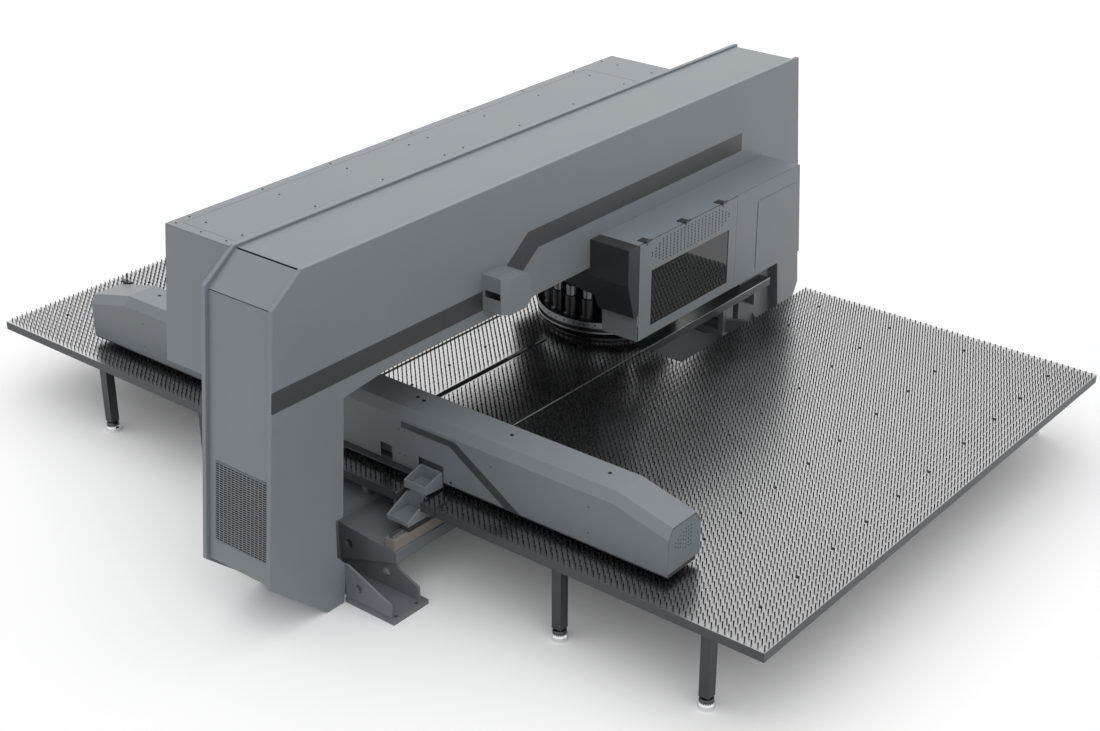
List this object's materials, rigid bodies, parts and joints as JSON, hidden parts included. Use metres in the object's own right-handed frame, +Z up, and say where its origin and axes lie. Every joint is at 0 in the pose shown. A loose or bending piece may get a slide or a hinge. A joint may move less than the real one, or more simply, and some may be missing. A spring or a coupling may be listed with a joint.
{
  "type": "punch-laser combination machine",
  "caption": "Sheet metal machine: portal frame with tool turret, hooded laser head, brush tables and a travelling X beam with sheet clamps",
  "frame": {"origin": "centre of the footprint on the floor", "axes": "+X along the tables toward the front table, +Y along the portal beam toward the far column, +Z up"},
  "size_m": [6.186, 5.3502, 2.12],
  "materials": {
    "machine_grey": "satin grey paint",
    "light_grey": "satin light grey paint",
    "frame_grey": "satin dark grey paint",
    "stripe_grey": "satin anthracite paint",
    "charcoal": "matt charcoal paint",
    "deck_white": "light table sheet",
    "beige_seat": "beige primer",
    "dark_cast": "dark painted casting",
    "ground_steel": "ground steel",
    "bright_alloy": "anodised",
    "chrome_feet": "bright chrome",
    "brush_black": "nylon bristles",
    "tinted_pane": "tinted safety pane"
  },
  "bodies": {
    "base": {"base_frame": "frame_grey", "guide_beds": "frame_grey", "rail_seats": "beige_seat", "y_rails": "ground_steel", "y_drive": "dark_cast", "anchor_feet": "frame_grey", "front_plate": "machine_grey", "rear_plate": "machine_grey", "inner_skin": "frame_grey", "top_cover": "light_grey", "near_end_panel": "machine_grey", "near_grille": "frame_grey", "far_end_panel": "machine_grey", "accent_stripe": "stripe_grey", "far_inner_column": "frame_grey", "rear_cabinet": "machine_grey", "cabinet_lid": "light_grey", "side_box": "machine_grey", "hood_shell": "machine_grey", "hood_end_panel": "charcoal", "hood_access_panel": "machine_grey", "front_deck": "deck_white", "mid_deck": "deck_white", "rear_deck": "deck_white", "front_table_frame": "stripe_grey", "rear_table_frame": "stripe_grey", "mid_supports": "frame_grey", "levelling_feet": "chrome_feet", "front_brush": "brush_black", "mid_brush": "brush_black", "rear_brush": "brush_black", "turret_housing": "frame_grey", "ram_guide": "frame_grey", "laser_guide": "frame_grey"},
    "gantry": {"x_beam": "frame_grey", "beam_cover": "light_grey", "beam_end_caps": "machine_grey", "beam_base_plate": "stripe_grey", "beam_stripe": "stripe_grey", "guide_bracket": "machine_grey", "guide_carriages": "charcoal", "under_webs": "frame_grey", "x_rails": "ground_steel", "x_drive": "dark_cast", "table_leaf": "deck_white", "leaf_brush": "brush_black"},
    "y_screw": {"y_screw": "ground_steel"},
    "x_screw": {"x_screw": "ground_steel"},
    "clamp_carriage": {"clamp_carriage": "frame_grey"},
    "clamp_jaw_1": {"clamp_jaw_1": "ground_steel"},
    "clamp_jaw_2": {"clamp_jaw_2": "ground_steel"},
    "clamp_jaw_3": {"clamp_jaw_3": "ground_steel"},
    "upper_turret": {"upper_turret": "dark_cast"},
    "lower_turret": {"lower_turret": "dark_cast"},
    "punch_ram": {"punch_ram": "ground_steel"},
    "laser_head": {"laser_head": "bright_alloy"},
    "hood_door": {"hood_door": "machine_grey", "door_window": "tinted_pane"}
  },
  "joints": [
    {"name": "y_travel", "type": "slide", "parent": "base", "child": "gantry", "axis": [0, 1, 0], "range_m": [0, 1.4]},
    {"name": "y_screw_spin", "type": "hinge", "parent": "base", "child": "y_screw", "pos_m": [-0.028, -0.735, 0.425], "axis": [0, 1, 0], "range_deg": [-10, 12610]},
    {"name": "x_travel", "type": "slide", "parent": "gantry", "child": "clamp_carriage", "axis": [1, 0, 0], "range_m": [0, 3]},
    {"name": "x_screw_spin", "type": "hinge", "parent": "gantry", "child": "x_screw", "pos_m": [0, -1.236, 0.69], "axis": [1, 0, 0], "range_deg": [-10, 27010]},
    {"name": "jaw_1_open", "type": "hinge", "parent": "clamp_carriage", "child": "clamp_jaw_1", "pos_m": [-2.05, -1.14, 0.662], "axis": [1, 0, 0], "range_deg": [0, 12]},
    {"name": "jaw_2_open", "type": "hinge", "parent": "clamp_carriage", "child": "clamp_jaw_2", "pos_m": [-1.5, -1.14, 0.662], "axis": [1, 0, 0], "range_deg": [0, 12]},
    {"name": "jaw_3_open", "type": "hinge", "parent": "clamp_carriage", "child": "clamp_jaw_3", "pos_m": [-0.95, -1.14, 0.662], "axis": [1, 0, 0], "range_deg": [0, 12]},
    {"name": "turret_index", "type": "hinge", "parent": "base", "child": "upper_turret", "pos_m": [0.056, 1.018, 0.9], "axis": [0, 0, 1], "continuous": true},
    {"name": "lower_turret_index", "type": "hinge", "parent": "base", "child": "lower_turret", "pos_m": [0.056, 1.018, 0.5], "axis": [0, 0, 1], "continuous": true},
    {"name": "punch_stroke", "type": "slide", "parent": "base", "child": "punch_ram", "axis": [0, 0, 1], "range_m": [-0.04, 0]},
    {"name": "laser_height", "type": "slide", "parent": "base", "child": "laser_head", "axis": [0, 0, 1], "range_m": [-0.14, 0]},
    {"name": "hood_door_swing", "type": "hinge", "parent": "base", "child": "hood_door", "pos_m": [0.889, 0.787, 1.517], "axis": [0, -1, 0], "range_deg": [0, 100]}
  ],
  "couplings": [
    {"joint": "y_screw_spin", "follows": "y_travel", "rad_per_m": 157.08},
    {"joint": "x_screw_spin", "follows": "x_travel", "rad_per_m": 157.08},
    {"joint": "jaw_2_open", "follows": "jaw_1_open", "ratio": 1},
    {"joint": "jaw_3_open", "follows": "jaw_1_open", "ratio": 1},
    {"joint": "lower_turret_index", "follows": "turret_index", "ratio": 1}
  ]
}
